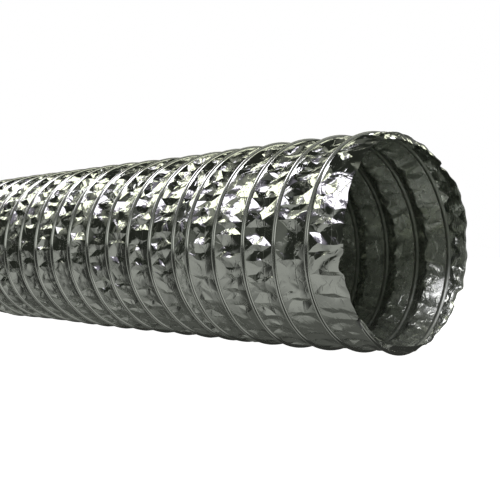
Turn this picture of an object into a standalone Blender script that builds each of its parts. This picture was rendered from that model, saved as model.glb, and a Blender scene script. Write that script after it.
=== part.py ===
"""Flexible foil duct: a spring-wire helix held between two foil plies.

The wire and both plies run from end to end of the real duct. Here each is divided along
one seam line into lengths of one turn, so that every turn can move by itself. The duct
axis is parallel to X and the mouth faces +X. A flat facet of the ridges lies on Z = 0.
"""
import math

import bmesh
import bpy

MM = 0.001

# Driving dimensions.
BORE_RADIUS = 76.0 * MM          # inside of the inner ply, at a facet corner
PLY_THICKNESS = 0.4 * MM         # each foil ply, thickened so that it is a solid
PLY_GAP = 0.3 * MM               # clearance between plies, and between a ply and the wire
WIRE_RADIUS = 0.7 * MM           # spring wire
COVER_GAP = 0.4 * MM             # clearance of the outer ply over the top of the wire
FLANK_WIDTH = 3.0 * MM           # from the wire centre to where the outer ply meets the web
PITCH = 28.0 * MM                # axial distance between neighbouring turns of wire
TURNS = 19                       # turns of wire in this length of duct
WIRE_LEAN = 2.0 * MM             # how far the top of a turn leans back towards the rear
PINCH_TURN = 13.0                # turn after which one pitch is closed up
PINCH_SHARE = 0.55               # width of that pitch as a share of PITCH
END_MARGIN = 4.0 * MM            # foil beyond each end of the wire
STRIP_GAP = 0.3 * MM             # clearance between neighbouring strips of one ply
WIRE_END_GAP = 2.0 * MM          # clearance between the ends of neighbouring wire turns

# Facets round the duct: two more than a multiple of four puts a flat facet at the bottom.
FACETS = 18
WIRE_SIDES = 6
# The seam line lies below the middle of the -Y side, on a corner between two facets.
SEAM_FACETS_BELOW = 2

FACET_ANGLE = 2.0 * math.pi / FACETS
SEAM_ANGLE = -SEAM_FACETS_BELOW * FACET_ANGLE

WIRE_CENTRE_RADIUS = BORE_RADIUS + PLY_THICKNESS + PLY_GAP + WIRE_RADIUS
WEB_RADIUS = BORE_RADIUS + PLY_THICKNESS + PLY_GAP
CREST_RADIUS = WIRE_CENTRE_RADIUS + WIRE_RADIUS + COVER_GAP
OUTER_RADIUS = CREST_RADIUS + PLY_THICKNESS
AXIS_HEIGHT = OUTER_RADIUS * math.cos(FACET_ANGLE / 2.0)


def smooth_step(value):
    """Ease from 0 to 1, level at both ends."""
    held = min(max(value, 0.0), 1.0)
    return held * held * (3.0 - 2.0 * held)


def wire_advance(turn):
    """Axial distance gained by the wire after this many turns from its rear end."""
    closed_up = (1.0 - PINCH_SHARE) * smooth_step(turn - PINCH_TURN)
    return PITCH * (turn - closed_up)


DUCT_LENGTH = wire_advance(TURNS) + 2.0 * END_MARGIN
REAR_X = -DUCT_LENGTH / 2.0
MOUTH_X = DUCT_LENGTH / 2.0
# Axial position of the wire's rear end before the lean of the turns is added.
WIRE_START_X = REAR_X + END_MARGIN + WIRE_LEAN * math.sin(SEAM_ANGLE)


def wire_x(number, angle):
    """Axial position of wire turn `number`, counted from 1 at the rear, at an angle.

    The angle is 0 on the -Y side and a quarter turn at the top.
    """
    turn = number - 1 + (angle - SEAM_ANGLE) / (2.0 * math.pi)
    return WIRE_START_X + wire_advance(turn) - WIRE_LEAN * math.sin(angle)


def turn_middle_x(number):
    """Axial position of the middle of a wire turn, where its bending axis stands."""
    return WIRE_START_X + wire_advance(number - 0.5)


def section_angles(end_gap):
    """Angles of the sections of a one-turn piece, drawn back from the seam by half a gap."""
    half_gap_angle = end_gap / 2.0 / BORE_RADIUS
    angles = [SEAM_ANGLE + index * FACET_ANGLE for index in range(FACETS + 1)]
    angles[0] += half_gap_angle
    angles[-1] -= half_gap_angle
    return angles


def outer_ply_section(number, angle):
    """Corners (x, radius) of outer strip `number`, from the wire behind it to the next wire."""
    inside = []
    if number > 0:
        rear_wire = wire_x(number, angle)
        inside.append((rear_wire + STRIP_GAP / 2.0, CREST_RADIUS))
        inside.append((rear_wire + FLANK_WIDTH, WEB_RADIUS))
    else:
        inside.append((REAR_X, WEB_RADIUS))
    if number < TURNS:
        front_wire = wire_x(number + 1, angle)
        inside.append((front_wire - FLANK_WIDTH, WEB_RADIUS))
        inside.append((front_wire - STRIP_GAP / 2.0, CREST_RADIUS))
    else:
        inside.append((MOUTH_X, WEB_RADIUS))
    outside = [(x, radius + PLY_THICKNESS) for x, radius in reversed(inside)]
    return inside + outside


def inner_ply_section(number, angle):
    """Corners (x, radius) of inner strip `number`, which lies level under the wires."""
    rear = REAR_X
    front = MOUTH_X
    if number > 0:
        rear = wire_x(number, angle) + STRIP_GAP / 2.0
    if number < TURNS:
        front = wire_x(number + 1, angle) - STRIP_GAP / 2.0
    outside_radius = BORE_RADIUS + PLY_THICKNESS
    return [(rear, BORE_RADIUS), (front, BORE_RADIUS), (front, outside_radius), (rear, outside_radius)]


def wire_section(number, angle):
    """Corners (x, radius) of wire turn `number`."""
    centre = wire_x(number, angle)
    corners = []
    for side in range(WIRE_SIDES):
        direction = 2.0 * math.pi * side / WIRE_SIDES
        along = WIRE_RADIUS * math.cos(direction)
        outward = WIRE_RADIUS * math.sin(direction)
        corners.append((centre + along, WIRE_CENTRE_RADIUS + outward))
    return corners


def placed(corner, angle, origin_x):
    """Turn a corner (x, radius) of a section into a point relative to the object's origin."""
    x, radius = corner
    return (x - origin_x, -radius * math.cos(angle), radius * math.sin(angle))


def sweep_section(mesh_edit, section_at, angles, origin_x):
    """Extrude a closed section from angle to angle round the duct, leaving both ends capped."""
    corner_index = mesh_edit.verts.layers.int.new("corner_index")
    start_verts = []
    for index, corner in enumerate(section_at(angles[0])):
        vert = mesh_edit.verts.new(placed(corner, angles[0], origin_x))
        vert[corner_index] = index
        start_verts.append(vert)
    start_cap = mesh_edit.faces.new(start_verts)
    end_face = start_cap
    for angle in angles[1:]:
        extruded = bmesh.ops.extrude_face_region(mesh_edit, geom=[end_face])
        if end_face is not start_cap:
            bmesh.ops.delete(mesh_edit, geom=[end_face], context="FACES_ONLY")
        end_face = next(item for item in extruded["geom"] if isinstance(item, bmesh.types.BMFace))
        corners = section_at(angle)
        for vert in end_face.verts:
            vert.co = placed(corners[vert[corner_index]], angle, origin_x)
    bmesh.ops.recalc_face_normals(mesh_edit, faces=mesh_edit.faces[:])


def add_piece(name, section_at, angles, origin_x, material):
    """Make one swept piece whose origin is on the duct axis at origin_x."""
    mesh_edit = bmesh.new()
    sweep_section(mesh_edit, section_at, angles, origin_x)
    for face in mesh_edit.faces:
        face.smooth = True
    mesh = bpy.data.meshes.new(name)
    mesh_edit.to_mesh(mesh)
    mesh_edit.free()
    mesh.materials.append(material)
    piece = bpy.data.objects.new(name, mesh)
    piece.location = (origin_x, 0.0, AXIS_HEIGHT)
    bpy.context.scene.collection.objects.link(piece)
    return piece


def add_metal(name, colour, roughness):
    """Make a Principled metal."""
    material = bpy.data.materials.new(name)
    material.use_nodes = True
    shader = material.node_tree.nodes["Principled BSDF"]
    shader.inputs["Base Color"].default_value = colour
    shader.inputs["Metallic"].default_value = 1.0
    shader.inputs["Roughness"].default_value = roughness
    return material


def clear_scene():
    """Remove every object that the start-up file holds."""
    for item in list(bpy.data.objects):
        bpy.data.objects.remove(item, do_unlink=True)


def web_origin_x(number):
    """Axial position of the origin of the strips in front of wire turn `number`."""
    if number == 0:
        return REAR_X
    return turn_middle_x(number)


def add_plies(outer_foil, inner_foil):
    """Add one strip of each ply before the first wire turn and after every wire turn."""
    angles = section_angles(STRIP_GAP)
    for number in range(TURNS + 1):
        origin_x = web_origin_x(number)
        add_piece(
            f"outer_ply_{number:02d}",
            lambda angle, number=number: outer_ply_section(number, angle),
            angles,
            origin_x,
            outer_foil,
        )
        add_piece(
            f"inner_ply_{number:02d}",
            lambda angle, number=number: inner_ply_section(number, angle),
            angles,
            origin_x,
            inner_foil,
        )


def add_wire(spring_steel):
    """Add the wire, one piece to a turn."""
    angles = section_angles(WIRE_END_GAP)
    for number in range(1, TURNS + 1):
        add_piece(
            f"wire_turn_{number:02d}",
            lambda angle, number=number: wire_section(number, angle),
            angles,
            turn_middle_x(number),
            spring_steel,
        )


def build():
    """Build the whole duct."""
    clear_scene()
    outer_foil = add_metal("outer_foil", (0.88, 0.88, 0.86, 1.0), 0.22)
    inner_foil = add_metal("inner_foil", (0.62, 0.63, 0.60, 1.0), 0.32)
    spring_steel = add_metal("spring_steel", (0.42, 0.42, 0.43, 1.0), 0.35)
    add_plies(outer_foil, inner_foil)
    add_wire(spring_steel)


build()
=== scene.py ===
"""Looks of the flexible foil duct: crumpled foil webs, foil-covered wire ridges, light and camera."""
import math

import bpy
import numpy as np
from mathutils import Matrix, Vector


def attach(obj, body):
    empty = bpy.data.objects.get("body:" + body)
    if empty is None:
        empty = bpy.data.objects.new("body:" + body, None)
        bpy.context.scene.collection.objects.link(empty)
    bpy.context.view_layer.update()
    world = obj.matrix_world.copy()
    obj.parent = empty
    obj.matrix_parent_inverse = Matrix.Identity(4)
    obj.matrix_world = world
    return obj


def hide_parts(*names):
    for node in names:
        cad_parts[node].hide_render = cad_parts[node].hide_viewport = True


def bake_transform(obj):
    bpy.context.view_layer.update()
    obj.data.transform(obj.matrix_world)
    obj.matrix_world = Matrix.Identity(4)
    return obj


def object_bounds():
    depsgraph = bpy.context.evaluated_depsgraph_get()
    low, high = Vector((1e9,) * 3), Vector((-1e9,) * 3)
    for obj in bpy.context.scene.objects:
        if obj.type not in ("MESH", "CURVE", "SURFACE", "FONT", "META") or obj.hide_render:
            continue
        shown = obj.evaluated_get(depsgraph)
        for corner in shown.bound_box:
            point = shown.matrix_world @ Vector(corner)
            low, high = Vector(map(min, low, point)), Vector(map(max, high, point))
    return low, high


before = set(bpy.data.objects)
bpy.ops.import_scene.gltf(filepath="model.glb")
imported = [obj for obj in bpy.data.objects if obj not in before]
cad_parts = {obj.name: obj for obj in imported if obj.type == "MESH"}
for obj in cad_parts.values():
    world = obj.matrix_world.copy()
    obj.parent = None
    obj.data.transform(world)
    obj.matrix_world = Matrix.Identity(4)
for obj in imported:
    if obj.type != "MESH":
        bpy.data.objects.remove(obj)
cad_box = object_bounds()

MM = 0.001

# ---------------------------------------------------------------- sizes read from the frame
TURNS = sum(name.startswith("wire_turn_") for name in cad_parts)
REAR_X = cad_box[0][0]
MOUTH_X = cad_box[1][0]
AXIS_HEIGHT = (cad_box[0][2] + cad_box[1][2]) / 2.0
CAD_CREST_RADIUS = cad_box[1][1]

# ---------------------------------------------------------------- sizes shared with the CAD model
FACETS = 18                      # flat facets round each CAD piece
SEAM_ANGLE = -2.0 * 2.0 * math.pi / FACETS
END_MARGIN = 4.0 * MM            # foil beyond each end of the wire
WIRE_LEAN = 2.0 * MM             # how far the top of a turn leans back towards the rear
PINCH_TURN = 13.0                # turn after which one pitch is closed up
PINCH_SHARE = 0.55               # width of that pitch as a share of the others
RIDGE_HEIGHT = 1.8 * MM          # crest of the ridge above the foil web
WIRE_RADIUS = 0.7 * MM
PITCH = (MOUTH_X - REAR_X - 2.0 * END_MARGIN) / (TURNS - 1.0 + PINCH_SHARE)
WIRE_START_X = REAR_X + END_MARGIN + WIRE_LEAN * math.sin(SEAM_ANGLE)

# A round section with the same area as the faceted one is slightly smaller than its corners.
ROUND_SHARE = math.sqrt(math.sin(2.0 * math.pi / FACETS) * FACETS / (2.0 * math.pi))
CREST_RADIUS = CAD_CREST_RADIUS * ROUND_SHARE
WEB_RADIUS = CREST_RADIUS - RIDGE_HEIGHT
PLY_GAP = 0.5 * MM               # from the outer ply's surface to the inner ply's

# Each ply and the use of the material that its pieces get.
PLIES = (("outer", "outer_foil"), ("inner", "inner_foil"))

# ---------------------------------------------------------------- hand-made unevenness of the duct
# Wander of the wire along the duct: radians for each turn, phase and height.
WIRE_WANDER = ((10.7, 0.0, 0.35 * MM), (18.3, 2.0, 0.3 * MM))
# How the duct is out of round: lobes round it, their twist in radians per metre, and height.
ROUND_WANDER = ((3.0, 21.0, 0.35 * MM), (5.0, -34.0, 0.25 * MM))
MOUTH_RISE = 3.0 * MM            # the underside is pressed in this much at the mouth
MOUTH_REACH = 90.0 * MM          # and less and less over this length


def smooth_step(value):
    """Ease from 0 to 1, level at both ends."""
    held = np.clip(value, 0.0, 1.0)
    return held * held * (3.0 - 2.0 * held)


def wire_advance(turn):
    """Axial distance gained by the wire after this many turns."""
    return PITCH * (turn - (1.0 - PINCH_SHARE) * smooth_step(turn - PINCH_TURN))


def turn_angle(turn):
    """Angle round the duct: 0 on the -Y side and a quarter turn at the top."""
    return SEAM_ANGLE + 2.0 * math.pi * turn


def wire_x(turn):
    """Axial position of the wire after this many turns, with a slight hand-made wander."""
    wander = 0.0
    for rate, phase, height in WIRE_WANDER:
        wander = wander + height * np.sin(rate * turn + phase)
    return WIRE_START_X + wire_advance(turn) - WIRE_LEAN * np.sin(turn_angle(turn)) + wander


def on_duct(x, radius, angle):
    """Points at a radius round the duct, which is a little out of round and lies on Z = 0."""
    uneven = 0.0
    for lobes, twist, height in ROUND_WANDER:
        uneven = uneven + height * np.sin(lobes * angle + twist * x)
    near_mouth = smooth_step(1.0 - (MOUTH_X - x) / MOUTH_REACH)
    reach = radius + uneven - MOUTH_RISE * near_mouth * smooth_step(-np.sin(angle))
    level = np.maximum(AXIS_HEIGHT + reach * np.sin(angle), 0.0)
    return np.stack([x, -reach * np.cos(angle), level], axis=-1)


# ---------------------------------------------------------------- the creased sheet, laid out flat
CELLS_PER_TURN = 90              # large folds round one turn
BEND_START = 0.62                # share of a web, from its rear wire, where the part named bend starts
ROW_SHARES = (0.0, 0.31, BEND_START, 1.0)
ROW_PLEATS = (0.0, 1.0, 0.7, 0.0)                  # height of the pleats at each row
MIDDLE_ROW = 1                   # the two rows of corners between the wires, of which the second divides the web into its fold and bend pieces
BORDER_ROW = 2                   # second divides the folding part from the bending part
COLUMN_JITTER = 0.28             # uneven spacing of the folds, as a share of their mean spacing
POINT_JITTER = 0.18              # and of their corners between the wires
ROW_JITTER = 0.08                # share of a web that the corners of the middle row wander
BORDER_JITTER = 0.04             # and that those of the border wander
SAME_SIDE_CHANCE = 0.25          # share of the pleats that stand to the same side as the one before
LEAST_PLEAT = 0.35               # lowest pleat as a share of the highest
PLEAT_DEPTH = 1.60 * MM          # folds that run from wire to wire
LOOSE_DEPTH = 0.40 * MM          # uneven height of the corners of the large folds
FOLD_DEPTHS = (0.22 * MM, 0.03 * MM)               # folds of the two finer sizes
FOLD_SLIDES = (0.12, 0.05)                         # and how far their corners slide along the sheet
ROW_SLIDE_SHARE = 0.2            # slide across the web as a share of the slide round the duct
CALM_SHARE = 0.60                # height of the folds low on the duct as a share of those at its top
LIVELY_FROM = -0.40              # place where they start to grow, as the sine of its angle
LIVELY_RISE = 0.45               # and how much further up they are at full height
DENT_CHANCE = 0.28               # share of the large folds that are knocked in further
DENT_SHARE = 2.1                 # height of their folds, up to DENT_LIMIT
DENT_LIMIT = 1.15
PUCKER_CHANCE = 0.45             # share of the large folds that are puckered at the foil's lap
PUCKER_DEPTH = 0.9 * MM

# Where the foil is free to fold, in shares of a web.
FREE_FROM_REAR = 0.20            # the folds grow over this much beside the rear wire
FLAT_AT_FRONT = 0.08             # none this close to the front wire
FREE_FROM_FRONT = 0.40           # and they grow over this much beside it
END_FREE_FROM_WIRE = 0.3         # the same on the loose rear end
MOUTH_FREE_FROM_WIRE = 0.2       # and on the loose mouth end
EDGE_FOLD_SHARE = 0.45           # height of the folds along the cut edges
EDGE_FOLD_REACH = 0.5            # and how far from a cut edge they are at full height

FOLD_SEED = 11
rng = np.random.default_rng(FOLD_SEED)


def large_folds():
    """The long strip as a jittered grid: points (column, row, fold height) and triangles.

    A column is a share of a turn, counted through all the strips. A row is the share of
    the web between its two wires.
    """
    columns = CELLS_PER_TURN * (TURNS + 1) + 1
    rows = len(ROW_SHARES)
    points = np.zeros((columns, rows, 3))
    points[:, :, 0] = np.arange(columns)[:, None]
    points[:, :, 1] = np.array(ROW_SHARES)[None, :]
    points[:, :, 0] += rng.uniform(-COLUMN_JITTER, COLUMN_JITTER, columns)[:, None]
    points[:, 1:-1, 0] += rng.uniform(-POINT_JITTER, POINT_JITTER, (columns, rows - 2))
    points[:, MIDDLE_ROW, 1] += rng.uniform(-ROW_JITTER, ROW_JITTER, columns)
    points[:, BORDER_ROW, 1] += rng.uniform(-BORDER_JITTER, BORDER_JITTER, columns)
    points[::CELLS_PER_TURN, :, 0] = np.arange(columns)[::CELLS_PER_TURN, None]
    points[:, :, 2] = corner_heights(columns)
    triangles = grid_triangles(columns, rows)
    points = points.reshape(-1, 3)
    points[:, 2] *= fold_share(points)
    return points, triangles


def corner_heights(columns):
    """Height of each corner of the large folds, by column and row."""
    same_side = rng.random(columns) < SAME_SIDE_CHANCE
    side = np.where((np.arange(columns) + np.cumsum(same_side)) % 2 == 0, 1.0, -1.0)
    pleat = side * rng.uniform(LEAST_PLEAT, 1.0, columns)
    height = np.sin(turn_angle(np.arange(columns) / CELLS_PER_TURN))
    lively = CALM_SHARE + (1.0 - CALM_SHARE) * smooth_step((height - LIVELY_FROM) / LIVELY_RISE)
    dented = rng.random(columns) < DENT_CHANCE
    lively[dented] = np.minimum(lively[dented] * DENT_SHARE, DENT_LIMIT)
    heights = np.zeros((columns, len(ROW_PLEATS)))
    for row, share in enumerate(ROW_PLEATS):
        loose = rng.uniform(-1.0, 1.0, columns)
        heights[:, row] = lively * (PLEAT_DEPTH * share * pleat + LOOSE_DEPTH * loose)
    pucker = np.where(rng.random(columns) < PUCKER_CHANCE, rng.uniform(-1.0, 1.0, columns), 0.0)
    heights[:, BORDER_ROW] += PUCKER_DEPTH * pucker
    return heights


def grid_triangles(columns, rows):
    """Two triangles for each cell of the grid, split along either diagonal by chance."""
    triangles = []
    for column in range(columns - 1):
        for row in range(rows - 1):
            corner = column * rows + row
            ahead = corner + rows
            if rng.random() < 0.5:
                triangles += [(corner, ahead, ahead + 1), (corner, ahead + 1, corner + 1)]
            else:
                triangles += [(corner, ahead, corner + 1), (ahead, ahead + 1, corner + 1)]
    return np.array(triangles)


def fold_share(points):
    """How freely each point folds: not at all at a wire or at the ends of the two end strips."""
    strip = points[:, 0] / CELLS_PER_TURN
    from_rear = points[:, 1]
    from_front = 1.0 - points[:, 1]
    beside_front = smooth_step((from_front - FLAT_AT_FRONT) / FREE_FROM_FRONT)
    free = smooth_step(from_rear / FREE_FROM_REAR) * beside_front
    rear_edge = edge_fold_share(from_rear) * smooth_step(from_front / END_FREE_FROM_WIRE)
    mouth_edge = edge_fold_share(from_front) * smooth_step(from_rear / MOUTH_FREE_FROM_WIRE)
    free = np.where(strip < 1.0, rear_edge, free)
    free = np.where(strip > TURNS, mouth_edge, free)
    from_end_seam = np.minimum(np.abs(strip - 1.0), np.abs(strip - TURNS))
    return free * smooth_step(from_end_seam * CELLS_PER_TURN)


def edge_fold_share(from_edge):
    """Height of the folds near a cut edge, which is stiffer than the middle of a web."""
    return EDGE_FOLD_SHARE + (1.0 - EDGE_FOLD_SHARE) * smooth_step(from_edge / EDGE_FOLD_REACH)


def subdivide(points, triangles, depth, slide):
    """Split each triangle in four and fold the new edges by up to a depth."""
    corner_a, corner_b, corner_c = triangles.T
    edges = np.concatenate([
        np.stack([corner_a, corner_b], axis=1),
        np.stack([corner_b, corner_c], axis=1),
        np.stack([corner_c, corner_a], axis=1),
    ])
    edges.sort(axis=1)
    edges, edge_of = np.unique(edges, axis=0, return_inverse=True)
    middles = points[edges].mean(axis=1)
    share = fold_share(middles)
    at_wire = (middles[:, 1] == 0.0) | (middles[:, 1] == 1.0)
    at_seam = middles[:, 0] % CELLS_PER_TURN == 0.0
    move = rng.uniform(-1.0, 1.0, middles.shape)
    middles[:, 0] += np.where(at_wire | at_seam, 0.0, move[:, 0] * slide)
    middles[:, 1] += np.where(at_wire, 0.0, move[:, 1] * slide * ROW_SLIDE_SHARE) * share
    middles[:, 2] += move[:, 2] * depth * share
    side_ab, side_bc, side_ca = edge_of.reshape(3, -1) + len(points)
    triangles = np.concatenate([
        np.stack([corner_a, side_ab, side_ca], axis=1),
        np.stack([side_ab, corner_b, side_bc], axis=1),
        np.stack([side_ca, side_bc, corner_c], axis=1),
        np.stack([side_ab, side_bc, side_ca], axis=1),
    ])
    return np.concatenate([points, middles]), triangles


def creased_sheet():
    """The strip after all its folds, with each triangle's strip and part of the web."""
    points, triangles = large_folds()
    bands = len(ROW_SHARES) - 1
    cell = np.arange(len(triangles)) // 2
    strip = cell // (bands * CELLS_PER_TURN)
    bends = cell % bands == bands - 1
    for depth, slide in zip(FOLD_DEPTHS, FOLD_SLIDES):
        points, triangles = subdivide(points, triangles, depth, slide)
        strip = np.tile(strip, 4)
        bends = np.tile(bends, 4)
    return points, triangles, strip, bends


# ---------------------------------------------------------------- from the flat sheet to the duct
RIDGE_HALF_WIDTH = 2.0 * MM      # smooth foil on either side of the wire
OUTER_SAG = 1.1 * MM             # how far the middle of an outer web hangs in
INNER_SAG = 5.2 * MM             # how far the looser inner ply hangs in
INNER_CREST = 0.42               # share of a web, from its rear wire, where the inner ply hangs lowest
INNER_CREST_WANDER = 0.035
INNER_CREST_WAVES = (9.0, 23.0)  # waves of that wander round the duct
INNER_FOLD_SHARE = 0.55          # height of the inner ply's folds as a share of the outer ply's
END_EASE = 0.15                  # share of a turn over which a web takes up its sag
EDGE_MARGIN = 1.5 * MM           # from the CAD box in to a cut edge, before its waves and tears
EDGE_CLOSING = 0.08              # share of an end strip over which the two plies come together
# Waves of a cut edge: their number round the duct and their size in millimetres.
EDGE_WAVES = ((3, 0.7), (7, 0.6), (17, 0.5), (41, 0.3))
# Waves whose sum decides where it is torn: their number and how much the seed shifts them.
TEAR_WAVES = ((5.0, 1.0), (13.0, 2.0))
TEAR_FROM = 1.1                  # a tear starts where the sum is more than this
TEAR_RISE = 0.7                  # and is full where it is this much more
TEAR_DEPTH = 3.2                 # millimetres
# Bends of the loose foil at the mouth: angle and half width in degrees, and height.
MOUTH_BENDS = ((104.0, 62.0, -8.5 * MM), (206.0, 40.0, 2.5 * MM), (274.0, 42.0, -5.0 * MM))
MOUTH_BEND_POWER = 4             # the bends grow with this power of the distance from the wire
REAR_SEED = 1.0
MOUTH_SEED = 2.0
UV_STRIP_STEP = 10.0             # centimetres between neighbouring strips in the texture layout
CM_PER_METRE = 100.0
SHARP_CREASE = math.radians(15.0)


def ragged_edge(angle, seed):
    """How far a hand-cut foil edge wanders along the duct, with a few torn notches."""
    waves = 0.0
    for count, size in EDGE_WAVES:
        waves = waves + size * np.sin(count * angle + seed * count)
    tear = 0.0
    for count, shift in TEAR_WAVES:
        tear = tear + np.sin(count * angle + shift * seed)
    return (waves - TEAR_DEPTH * smooth_step((tear - TEAR_FROM) / TEAR_RISE)) * MM


def mouth_bend(angle):
    """How far the loose foil at the mouth stands out, or in if negative, at an angle."""
    degrees = np.degrees(angle) % 360.0
    out = 0.0
    for middle, half_width, height in MOUTH_BENDS:
        out = out + height * smooth_step(1.0 - np.abs(degrees - middle) / half_width)
    return out


def inner_sag(row, angle, strip):
    """How far the inner ply hangs in: a wandering crest between two straight slopes."""
    first, second = INNER_CREST_WAVES
    wander = np.sin(first * angle) + np.sin(second * angle + strip)
    crest = INNER_CREST + INNER_CREST_WANDER * wander
    return INNER_SAG * np.minimum(row / crest, (1.0 - row) / (1.0 - crest))


def web_surface(points, strip, ply):
    """Places points of the flat sheet on strip number `strip` of one ply."""
    turn = points[:, 0] / CELLS_PER_TURN
    angle = turn_angle(turn)
    row = points[:, 1]
    fold = points[:, 2]
    rear = wire_x(turn - 1.0) + RIDGE_HALF_WIDTH
    front = wire_x(turn) - RIDGE_HALF_WIDTH
    between_wires = smooth_step((turn - 1.0) / END_EASE) * smooth_step((TURNS - turn) / END_EASE)
    out = 0.0
    gap = PLY_GAP if ply == "inner" else 0.0
    if strip == 0:
        rear = REAR_X + EDGE_MARGIN - ragged_edge(angle, REAR_SEED)
        between_wires = 0.0
        gap = gap * smooth_step(row / EDGE_CLOSING)
    if strip == TURNS:
        front = MOUTH_X - EDGE_MARGIN + ragged_edge(angle, MOUTH_SEED)
        between_wires = 0.0
        gap = gap * smooth_step((1.0 - row) / EDGE_CLOSING)
        out = mouth_bend(angle) * row ** MOUTH_BEND_POWER
    if ply == "inner":
        sag = inner_sag(row, angle, strip)
        fold = fold * (1.0 - (1.0 - INNER_FOLD_SHARE) * between_wires)
    else:
        sag = OUTER_SAG * 4.0 * row * (1.0 - row)
    x = rear + row * (front - rear)
    return on_duct(x, WEB_RADIUS - sag * between_wires + fold + out - gap, angle)


def flat_uv(points, strip):
    """Texture places in centimetres, with the strips UV_STRIP_STEP apart."""
    around = 2.0 * math.pi * WEB_RADIUS / CELLS_PER_TURN
    along = CM_PER_METRE * PITCH * points[:, 1] + UV_STRIP_STEP * strip
    return np.stack([CM_PER_METRE * around * points[:, 0], along], axis=1)


def add_piece(name, places, faces, uv, material):
    """Make a mesh piece with a flat texture layout."""
    mesh = bpy.data.meshes.new(name)
    mesh.from_pydata(places.tolist(), [], faces.tolist())
    layer = mesh.uv_layers.new(name="flat_foil")
    corners = np.zeros(len(mesh.loops), dtype=np.int32)
    mesh.loops.foreach_get("vertex_index", corners)
    layer.data.foreach_set("uv", uv[corners].astype(np.float32).ravel())
    mesh.materials.append(material)
    mesh.shade_smooth()
    piece = bpy.data.objects.new(name, mesh)
    bpy.context.scene.collection.objects.link(piece)
    return piece


def cut_out(triangles, wanted):
    """The chosen triangles, with their corners counted afresh, and the points that they use."""
    used, corners = np.unique(triangles[wanted], return_inverse=True)
    return used, corners.reshape(-1, 3)


def turn_body(number):
    """The CAD body that wire turn `number` is on."""
    if number == 1:
        return "rear_end"
    if number == TURNS:
        return "mouth_end"
    return f"turn_{number:02d}"


def blend_along_web(piece, rows):
    """Lay a web part out by its rows, apply its transform, and give it its shape back.

    The rows of a web follow its slanting wires, so the piece is laid out with its row as
    X while its transform is applied, and then gets its own shape back.
    """
    mesh = piece.data
    shape = np.zeros(len(mesh.vertices) * 3)
    mesh.vertices.foreach_get("co", shape)
    laid_out = np.zeros((len(mesh.vertices), 3))
    laid_out[:, 0] = rows
    mesh.vertices.foreach_set("co", laid_out.ravel())
    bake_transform(piece)
    mesh.vertices.foreach_set("co", shape)
    mesh.update()


def attach_web_part(piece, strip, part, rows):
    """Let a loose end ride its wire's body; lay any other web part out by its rows and back,
    unattached.
    """
    if part == "end":
        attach(piece, "rear_end" if strip == 0 else "mouth_end")
    elif part == "fold":
        blend_along_web(piece, rows)
    else:
        blend_along_web(piece, rows)


def add_webs(materials):
    """The creased foil between the wires, and the two loose ends."""
    points, triangles, strip_of, bends = creased_sheet()
    for ply, slot_name in PLIES:
        for strip in range(TURNS + 1):
            node = f"{ply}_ply_{strip:02d}"
            in_strip = strip_of == strip
            if strip in (0, TURNS):
                parts = (("end", in_strip),)
            else:
                parts = (("fold", in_strip & ~bends), ("bend", in_strip & bends))
            for part, wanted in parts:
                used, faces = cut_out(triangles, wanted)
                own = points[used]
                if ply == "inner":
                    faces = faces[:, ::-1]
                places = web_surface(own, strip, ply)
                name = f"{ply}_web_{strip:02d}_{part}"
                uv = flat_uv(own, strip)
                piece = add_piece(name, places, faces, uv, materials[slot_name])
                piece.data.set_sharp_from_angle(angle=SHARP_CREASE)
                attach_web_part(piece, strip, part, own[:, 1])
                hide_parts(node)


# ---------------------------------------------------------------- the wire and its ridges
FINE_STEPS = 4                   # ridge columns to one large fold, after two subdivisions
RIDGE_OFFSETS = np.array([-2.0, -1.6, -1.3, -1.1, -0.95, -0.8, -0.6, -0.4, -0.2, 0.0,
                          0.2, 0.4, 0.6, 0.8, 0.95, 1.1, 1.3, 1.6, 2.0]) * MM
INNER_ROWS = 9
INNER_OFFSETS = np.linspace(-RIDGE_HALF_WIDTH, RIDGE_HALF_WIDTH, INNER_ROWS)
BEAD_RADIUS = 0.9 * MM           # foil drawn tight over the wire
BEAD_SIDE = 0.8 * MM             # where the foil leaves the wire
GROOVE_OFFSET = 1.1 * MM         # the foil is pressed in beside the wire
GROOVE_DEPTH = 0.3 * MM
INNER_BEAD_HEIGHT = 0.6 * MM     # how far the wire shows through the inner ply
WIRE_LIFT = RIDGE_HEIGHT - BEAD_RADIUS
WIRE_END_TAPER = 0.02            # share of a turn over which a ridge fades in at the wire's ends
WIRE_SIDES = 8


def ridge_share(turn):
    """1 along the wire, falling to 0 at its two cut ends."""
    return smooth_step(turn / WIRE_END_TAPER) * smooth_step((TURNS - turn) / WIRE_END_TAPER)


def ridge_height(offsets, ply):
    """Height of one ply over the wire, across the width of a ridge."""
    aside = np.abs(offsets)
    if ply == "inner":
        return -PLY_GAP - INNER_BEAD_HEIGHT * (1.0 - smooth_step(aside / RIDGE_HALF_WIDTH))
    bead = WIRE_LIFT + np.sqrt(np.maximum(BEAD_RADIUS ** 2 - aside ** 2, 0.0))
    rising = smooth_step((aside - GROOVE_OFFSET) / (RIDGE_HALF_WIDTH - GROOVE_OFFSET))
    beside = -GROOVE_DEPTH * (1.0 - rising)
    return np.where(aside > BEAD_SIDE, beside, bead)


def grid_faces(columns, rows, closed):
    """Quads of a grid of points, joined round its rows if it is closed."""
    faces = []
    for column in range(columns - 1):
        for row in range(rows if closed else rows - 1):
            beside = (row + 1) % rows
            corner = column * rows
            ahead = corner + rows
            faces.append((corner + row, ahead + row, ahead + beside, corner + beside))
    return np.array(faces)


def along_wire(turn, across, number):
    """Texture places of a swept piece: one column for each turn value, one row for each offset."""
    # A strip's columns are counted from one turn before its rear wire's.
    column = (turn + 1.0) * CELLS_PER_TURN
    flat = np.zeros((len(turn) * len(across), 2))
    flat[:, 0] = np.repeat(column, len(across))
    flat[:, 1] = np.tile(across / PITCH, len(turn))
    return flat_uv(flat, number)


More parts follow.
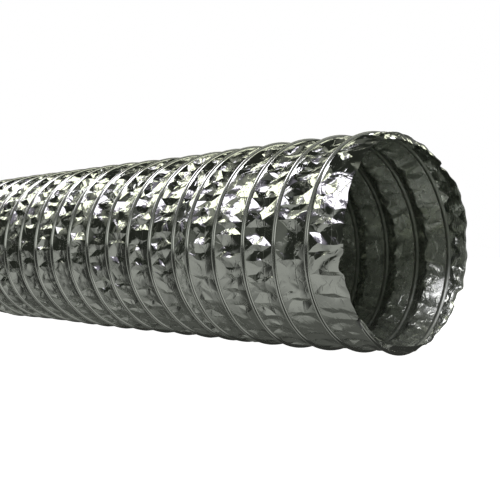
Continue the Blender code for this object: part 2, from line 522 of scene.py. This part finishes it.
def add_ridge(number, body, turn, ply, material):
    """One ply's smooth foil over or under one turn of wire."""
    offsets = RIDGE_OFFSETS if ply == "outer" else INNER_OFFSETS
    x = wire_x(turn)[:, None] + offsets[None, :]
    radius = WEB_RADIUS + ridge_height(offsets, ply)[None, :] * ridge_share(turn)[:, None]
    angle = np.repeat(turn_angle(turn)[:, None], len(offsets), axis=1)
    places = on_duct(x, radius, angle).reshape(-1, 3)
    faces = grid_faces(len(turn), len(offsets), closed=False)
    if ply == "inner":
        faces = faces[:, ::-1]
    uv = along_wire(turn, offsets, number)
    piece = add_piece(f"{ply}_ridge_{number:02d}", places, faces, uv, material)
    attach(piece, body)


def add_wire(number, body, turn, material):
    """One turn of the spring wire."""
    side = 2.0 * math.pi * np.arange(WIRE_SIDES) / WIRE_SIDES
    x = wire_x(turn)[:, None] + WIRE_RADIUS * np.cos(side)[None, :]
    height = np.repeat(WIRE_RADIUS * np.sin(side)[None, :], len(turn), axis=0)
    angle = np.repeat(turn_angle(turn)[:, None], WIRE_SIDES, axis=1)
    places = on_duct(x, WEB_RADIUS + WIRE_LIFT + height, angle).reshape(-1, 3)
    faces = grid_faces(len(turn), WIRE_SIDES, closed=True)
    uv = along_wire(turn, np.zeros(WIRE_SIDES), number)
    wire = add_piece(f"wire_{number:02d}", places, faces, uv, material)
    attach(wire, body)
    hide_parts(f"wire_turn_{number:02d}")


def add_ridges(materials):
    """Foil over and under each turn of wire, and the wire itself."""
    for number in range(1, TURNS + 1):
        body = turn_body(number)
        turn = number - 1 + np.linspace(0.0, 1.0, CELLS_PER_TURN * FINE_STEPS + 1)
        for ply, slot_name in PLIES:
            add_ridge(number, body, turn, ply, materials["ridge_" + ply])
        add_wire(number, body, turn, materials["spring_wire"])


# ---------------------------------------------------------------- shader nodes
def add_node(tree, kind, **settings):
    """Add a shader node and set its options."""
    node = tree.nodes.new(kind)
    for key, value in settings.items():
        setattr(node, key, value)
    return node


def noise(tree, places, scale, detail):
    """Soft noise over the flat foil, with its scale in waves to the centimetre."""
    texture = add_node(tree, "ShaderNodeTexNoise")
    texture.inputs["Scale"].default_value = scale
    texture.inputs["Detail"].default_value = detail
    tree.links.new(places, texture.inputs["Vector"])
    return texture.outputs["Fac"]


def mapped(tree, value, from_range, to_range=(0.0, 1.0), smooth=False):
    """Stretch one range of a value onto another, and hold it at the ends."""
    ramp = add_node(tree, "ShaderNodeMapRange")
    if smooth:
        ramp.interpolation_type = "SMOOTHSTEP"
    ramp.inputs["From Min"].default_value = from_range[0]
    ramp.inputs["From Max"].default_value = from_range[1]
    ramp.inputs["To Min"].default_value = to_range[0]
    ramp.inputs["To Max"].default_value = to_range[1]
    tree.links.new(value, ramp.inputs["Value"])
    return ramp.outputs["Result"]


def coloured(tree, value, colours, stops=(0.0, 1.0)):
    """Turn a value into a colour between two, which are reached at the two stops."""
    ramp = add_node(tree, "ShaderNodeValToRGB")
    for element, stop, colour in zip(ramp.color_ramp.elements, stops, colours):
        element.position = stop
        element.color = (*colour, 1.0)
    tree.links.new(value, ramp.inputs["Fac"])
    return ramp.outputs["Color"]


def raised(tree, heights):
    """One normal from several bump heights, each a socket with its distance in metres."""
    normal = None
    for height, distance in heights:
        bump = add_node(tree, "ShaderNodeBump")
        bump.inputs["Distance"].default_value = distance
        tree.links.new(height, bump.inputs["Height"])
        if normal:
            tree.links.new(normal, bump.inputs["Normal"])
        normal = bump.outputs["Normal"]
    return normal


# ---------------------------------------------------------------- materials
# Places on the foil are in centimetres, and so are the sizes of its patterns.
STAIN_SCALE = 0.55               # broad uneven tint
STAIN_RANGE = (0.35, 0.65)
POLISH_SCALE = 1.3               # uneven polish
POLISH_RANGE = (0.3, 0.7)
NOISE_DETAIL = 3.0
CREASE_SCALE = 1.7               # small creases, where the foil is pressed
CREASE_WIDTH = 0.13
PRESSED_RANGE = (0.50, 0.56)     # of the polish noise, where the creases come in
CRINKLE_SCALE = 4.0              # faint crinkles all over
CRINKLE_DETAIL = 2.0
LAP_PLACE = 1.86                 # from the rear wire to the lapped edge of the foil
LAP_STEP_WIDTH = 0.03
WIRE_MARK_SCALE = 6.0
WIRE_MARK_DETAIL = 4.0
WIRE_COLOURS = ((0.30, 0.30, 0.31), (0.52, 0.52, 0.53))
WIRE_ROUGHNESS = 0.34

OUTER_COLOURS = ((0.83, 0.85, 0.81), (0.92, 0.94, 0.90))
INNER_COLOURS = ((0.52, 0.55, 0.50), (0.65, 0.68, 0.62))
INNER_METALLIC = 0.85            # the inner ply's coated face is less of a mirror
FINE_CRINKLE = 0.012 * MM
# Each foil: its use, its material's name, tints, roughness from best to worst polish, depth
# of the crinkles, of the creases and of the lap, and how metallic it is.
FOILS = (
    ("outer_foil", "outer_foil_crumpled", OUTER_COLOURS, (0.06, 0.16),
     FINE_CRINKLE, 0.08 * MM, 0.10 * MM, 1.0),
    ("ridge_outer", "outer_foil_over_wire", OUTER_COLOURS, (0.08, 0.16),
     FINE_CRINKLE, 0.0, 0.0, 1.0),
    ("inner_foil", "inner_foil_crumpled", INNER_COLOURS, (0.14, 0.36),
     0.03 * MM, 0.20 * MM, 0.0, INNER_METALLIC),
    ("ridge_inner", "inner_foil_under_wire", INNER_COLOURS, (0.34, 0.50),
     FINE_CRINKLE, 0.0, 0.0, INNER_METALLIC),
)


def new_material(name):
    """A material with its node tree, its shader and the places on the flat foil."""
    material = bpy.data.materials.new(name)
    material.use_nodes = True
    tree = material.node_tree
    places = add_node(tree, "ShaderNodeUVMap", uv_map="flat_foil").outputs["UV"]
    return material, tree, tree.nodes["Principled BSDF"], places


def small_creases(tree, places, polish):
    """Height of the small creases, which run only where the foil is pressed."""
    creases = add_node(tree, "ShaderNodeTexVoronoi", feature="DISTANCE_TO_EDGE")
    creases.inputs["Scale"].default_value = CREASE_SCALE
    tree.links.new(places, creases.inputs["Vector"])
    edge = mapped(tree, creases.outputs["Distance"], (0.0, CREASE_WIDTH))
    pressed = add_node(tree, "ShaderNodeMix")
    pressed.inputs["A"].default_value = 1.0
    tree.links.new(mapped(tree, polish, PRESSED_RANGE), pressed.inputs["Factor"])
    tree.links.new(edge, pressed.inputs["B"])
    return pressed.outputs["Result"]


def tape_lap(tree, places):
    """Height of the foil strip's lapped edge, which runs a little behind the next wire."""
    split = add_node(tree, "ShaderNodeSeparateXYZ")
    tree.links.new(places, split.inputs["Vector"])
    along = add_node(tree, "ShaderNodeMath", operation="MODULO")
    along.inputs[1].default_value = UV_STRIP_STEP
    tree.links.new(split.outputs["Y"], along.inputs[0])
    return mapped(tree, along.outputs["Value"], (LAP_PLACE, LAP_PLACE + LAP_STEP_WIDTH))


def foil_material(name, tints, roughness, crinkle, crease, lap, metallic):
    """Rolled aluminium foil: uneven polish, faint crinkles, a few small creases and the tape lap."""
    material, tree, shader, places = new_material(name)
    stains = noise(tree, places, STAIN_SCALE, NOISE_DETAIL)
    tree.links.new(coloured(tree, stains, tints, STAIN_RANGE), shader.inputs["Base Color"])
    polish = noise(tree, places, POLISH_SCALE, NOISE_DETAIL)
    tree.links.new(mapped(tree, polish, POLISH_RANGE, roughness), shader.inputs["Roughness"])
    heights = [(small_creases(tree, places, polish), crease)]
    heights.append((noise(tree, places, CRINKLE_SCALE, CRINKLE_DETAIL), crinkle))
    if lap:
        heights.append((tape_lap(tree, places), lap))
    tree.links.new(raised(tree, heights), shader.inputs["Normal"])
    shader.inputs["Metallic"].default_value = metallic
    return material


def wire_material():
    """Drawn spring steel with fine marks."""
    material, tree, shader, places = new_material("spring_steel_wire")
    marks = noise(tree, places, WIRE_MARK_SCALE, WIRE_MARK_DETAIL)
    tree.links.new(coloured(tree, marks, WIRE_COLOURS), shader.inputs["Base Color"])
    shader.inputs["Metallic"].default_value = 1.0
    shader.inputs["Roughness"].default_value = WIRE_ROUGHNESS
    return material


def make_materials():
    """Every material of the duct, by its use."""
    materials = {use: foil_material(*looks) for use, *looks in FOILS}
    materials["spring_wire"] = wire_material()
    return materials


# ---------------------------------------------------------------- floor and surroundings
FLOOR_REACH = 6.0
FLOOR_LEVEL = -0.5 * MM
WHITE = (1.0, 1.0, 1.0, 1.0)

# Soft patches of the studio that the foil mirrors: direction, cosines of the angles where a
# patch ends and where it reaches full strength, and its radiance in red, green and blue.
ROOM_PATCHES = (
    ("front wall", (0.1, -1.0, 0.05), 0.70, 0.95, (0.075, 0.078, 0.070)),
    ("right wall", (1.0, 0.25, 0.25), 0.35, 0.90, (0.13, 0.132, 0.124)),
    ("back wall", (0.45, 1.0, 0.10), 0.45, 0.95, (0.13, 0.132, 0.124)),
    ("card by the camera", (0.70, -0.70, 0.05), 0.93, 0.985, (0.50, 0.51, 0.48)),
    ("round the key light", (-0.80, -0.24, 0.56), 0.915, 0.985, (0.20, 0.205, 0.175)),
    ("round the cool light", (-0.38, -0.60, 0.62), 0.915, 0.985, (0.19, 0.172, 0.225)),
    ("round the back light", (-0.60, 0.55, 0.60), 0.935, 0.985, (0.07, 0.072, 0.063)),
)
FLOOR_PATCHES = (
    ("near the horizon, left front", (-0.42, -0.86, -0.25), 0.74, 0.96, (0.118, 0.121, 0.112)),
    ("left front", (-0.30, -0.66, -0.66), 0.66, 0.92, (0.144, 0.147, 0.138)),
    ("left, under the duct", (-0.50, 0.15, -0.85), 0.75, 0.97, (0.048, 0.050, 0.045)),
    ("right front", (0.59, -0.41, -0.64), 0.91, 0.98, (0.34, 0.345, 0.325)),
    ("right", (0.39, 0.08, -0.89), 0.91, 0.98, (0.22, 0.225, 0.21)),
)
DARK_ROOM = (0.018, 0.020, 0.016, 1.0)
DARK_FLOOR = (0.030, 0.031, 0.028, 1.0)
HORIZON = (-0.02, -0.10)         # the floor's far edge, as the height of a unit direction


def add_floor():
    """A plain pale floor, which shows white to the camera and isn't mirrored in the foil."""
    mesh = bpy.data.meshes.new("floor")
    corners = [(x * FLOOR_REACH, y * FLOOR_REACH, FLOOR_LEVEL)
               for x, y in ((-1, -1), (1, -1), (1, 1), (-1, 1))]
    mesh.from_pydata(corners, [], [(0, 1, 2, 3)])
    floor = bpy.data.objects.new("floor", mesh)
    bpy.context.scene.collection.objects.link(floor)
    material = bpy.data.materials.new("pale_floor")
    material.use_nodes = True
    shader = material.node_tree.nodes["Principled BSDF"]
    shader.inputs["Base Color"].default_value = WHITE
    shader.inputs["Roughness"].default_value = 1.0
    shader.inputs["Emission Color"].default_value = WHITE
    shader.inputs["Emission Strength"].default_value = 1.0
    mesh.materials.append(material)
    floor.visible_glossy = False
    floor.visible_diffuse = False


def mixed(tree, colour_a, colour_b, factor, blend_type="MIX"):
    """Mix two colours, each a socket or a value."""
    mix = add_node(tree, "ShaderNodeMix", data_type="RGBA", blend_type=blend_type)
    for socket, value in (("A", colour_a), ("B", colour_b), ("Factor", factor)):
        if isinstance(value, bpy.types.NodeSocket):
            tree.links.new(value, mix.inputs[socket])
        else:
            mix.inputs[socket].default_value = value
    return mix.outputs["Result"]


def with_patches(tree, direction, colour, patches):
    """A colour with soft patches of light added to it, each round its own direction."""
    for _, toward, edge, full, radiance in patches:
        nearness = add_node(tree, "ShaderNodeVectorMath", operation="DOT_PRODUCT")
        tree.links.new(direction, nearness.inputs[0])
        nearness.inputs[1].default_value = Vector(toward).normalized()
        strength = mapped(tree, nearness.outputs["Value"], (edge, full), smooth=True)
        colour = mixed(tree, colour, (*radiance, 1.0), strength, "ADD")
    return colour


def add_world():
    """White to the camera; to the foil a dark studio above a grey table."""
    world = bpy.data.worlds.new("studio")
    world.use_nodes = True
    bpy.context.scene.world = world
    tree = world.node_tree
    direction = add_node(tree, "ShaderNodeTexCoord").outputs["Generated"]
    split = add_node(tree, "ShaderNodeSeparateXYZ")
    tree.links.new(direction, split.inputs["Vector"])
    below = mapped(tree, split.outputs["Z"], HORIZON, smooth=True)
    room = with_patches(tree, direction, DARK_ROOM, ROOM_PATCHES)
    floor = with_patches(tree, direction, DARK_FLOOR, FLOOR_PATCHES)
    rays = add_node(tree, "ShaderNodeLightPath")
    studio = mixed(tree, room, floor, below)
    seen = mixed(tree, studio, WHITE, rays.outputs["Is Camera Ray"])
    tree.links.new(seen, tree.nodes["Background"].inputs["Color"])


# ---------------------------------------------------------------- lights and camera
LIT_FROM_MOUTH = 150.0 * MM      # the lights point at the axis this far behind the mouth
CREAM = (0.98, 1.0, 0.78)
COOL = (0.94, 0.90, 1.0)
# Soft studio lights: direction, distance, width, height, radiance and colour.
LIGHTS = (
    ("key_left", (-0.80, -0.24, 0.56), 1.6, 0.80, 0.42, 1.5, CREAM),
    ("front_cool", (-0.38, -0.60, 0.62), 1.6, 0.80, 0.52, 1.4, COOL),
    ("back_left", (-0.60, 0.55, 0.60), 1.6, 0.80, 0.24, 1.0, CREAM),
    ("behind", (0.22, 0.88, 0.42), 1.6, 0.90, 0.50, 1.6, CREAM),
    ("overhead_strip", (0.30, 0.12, 0.95), 1.3, 2.2, 0.18, 1.2, CREAM),
    ("overhead_front", (0.29, -0.30, 0.86), 1.5, 0.85, 0.7, 3.6, COOL),
)
CAMERA_FROM_MOUTH = (275.3 * MM, -443.2 * MM, -5.0 * MM)
CAMERA_TURN = 43.95              # degrees from facing the duct's side
CAMERA_LIFT = 0.08               # degrees above level
CAMERA_LENS = 54.7               # millimetres, with the sensor's width
CAMERA_SENSOR = 36.0
CAMERA_CLIP_START = 0.01


def add_softbox(name, direction, distance, width, height, radiance, colour):
    """A soft rectangular light that faces the duct from a direction."""
    light = bpy.data.lights.new(name, "AREA")
    light.shape = "RECTANGLE"
    light.size = width
    light.size_y = height
    light.energy = radiance * math.pi * width * height
    light.color = colour
    lamp = bpy.data.objects.new(name, light)
    bpy.context.scene.collection.objects.link(lamp)
    toward = np.array(direction) / np.linalg.norm(direction)
    target = np.array([MOUTH_X - LIT_FROM_MOUTH, 0.0, AXIS_HEIGHT])
    lamp.location = (target + toward * distance).tolist()
    lamp.rotation_euler = Vector(toward.tolist()).to_track_quat("Z", "Y").to_euler()
    lamp.visible_camera = False


def add_camera():
    """A level view from close to the mouth, turned towards the duct's length."""
    camera = bpy.data.cameras.new("camera")
    camera.sensor_width = CAMERA_SENSOR
    camera.lens = CAMERA_LENS
    camera.clip_start = CAMERA_CLIP_START
    viewer = bpy.data.objects.new("camera", camera)
    bpy.context.scene.collection.objects.link(viewer)
    viewer.location = Vector((MOUTH_X, 0.0, AXIS_HEIGHT)) + Vector(CAMERA_FROM_MOUTH)
    viewer.rotation_euler = (math.radians(90.0 + CAMERA_LIFT), 0.0, math.radians(CAMERA_TURN))
    bpy.context.scene.camera = viewer


add_camera()
made_materials = make_materials()
add_webs(made_materials)
add_ridges(made_materials)
add_floor()
add_world()
for light_settings in LIGHTS:
    add_softbox(*light_settings)
bpy.context.scene.view_settings.view_transform = "Standard"
